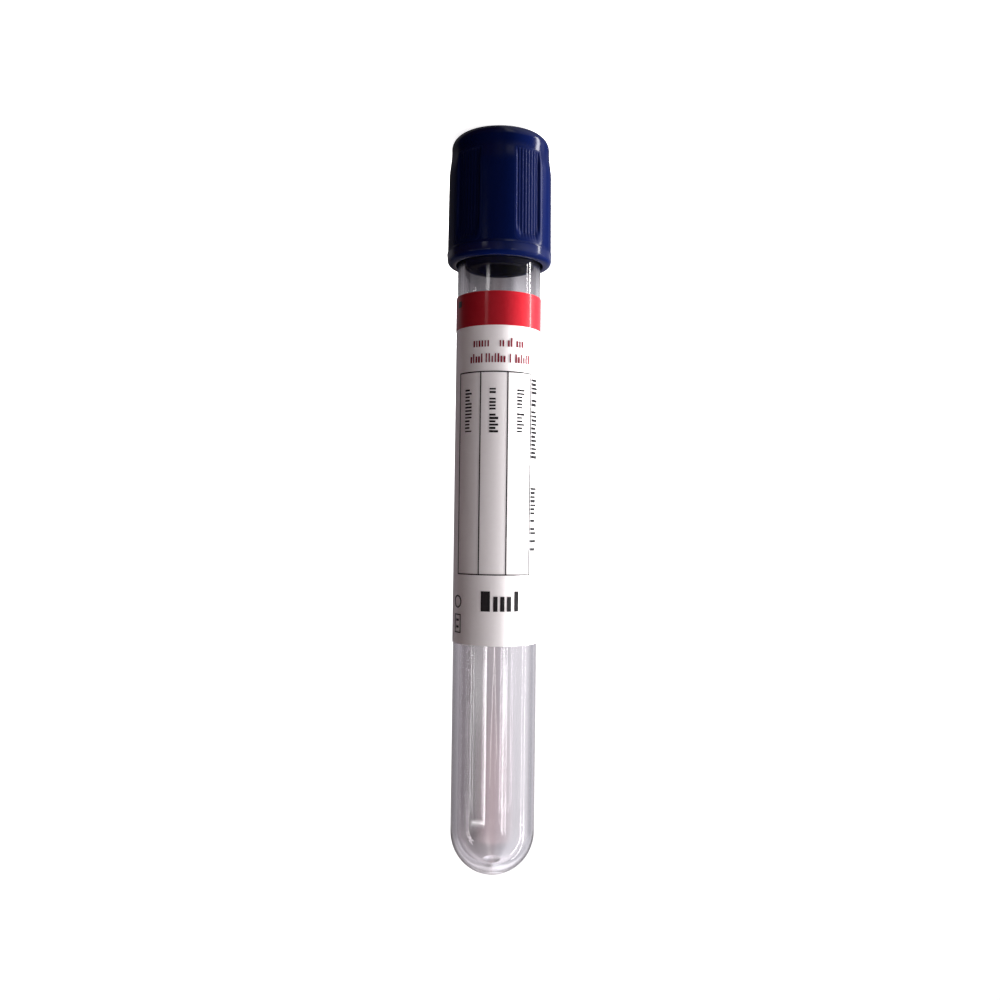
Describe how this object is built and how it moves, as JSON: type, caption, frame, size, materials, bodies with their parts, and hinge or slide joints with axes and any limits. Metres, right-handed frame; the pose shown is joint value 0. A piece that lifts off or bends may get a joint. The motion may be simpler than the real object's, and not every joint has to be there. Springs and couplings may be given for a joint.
{
  "type": "blood collection tube",
  "caption": "Clear round-bottomed plastic tube with a dark blue push-on closure over a rubber stopper and a printed wrap-round label; the closure pulls off along the axis",
  "frame": {"origin": "centre of the cap's flat top face, on which the tube stands upside down", "axes": "+Z along the tube's axis from the cap to the round end; -Y is the printed front of the label"},
  "size_m": [0.0158, 0.0158, 0.11],
  "materials": {
    "clear_plastic": "clear moulded polyester, high gloss",
    "stopper_rubber": "dark grey rubber, satin",
    "navy_plastic": "dark blue moulded plastic, semi-gloss",
    "label_film": "white coated label, semi-gloss",
    "red_ink": "red print, semi-gloss",
    "dark_red_ink": "dark red print, semi-gloss",
    "black_ink": "black print, semi-gloss"
  },
  "bodies": {
    "closure": {"cap": "navy_plastic", "stopper": "stopper_rubber"},
    "tube": {"tube": "clear_plastic", "label": "label_film", "print_red_band": "red_ink", "print_record_grid": "black_ink", "print_title_upper": "dark_red_ink", "print_title_lower": "dark_red_ink", "print_volume_mark": "black_ink", "print_caption_1": "black_ink", "print_caption_2": "black_ink", "print_caption_3": "black_ink"}
  },
  "joints": [
    {"name": "closure_pull", "type": "slide", "parent": "closure", "child": "tube", "axis": [0, 0, 1], "range_m": [0, 0.012]}
  ]
}
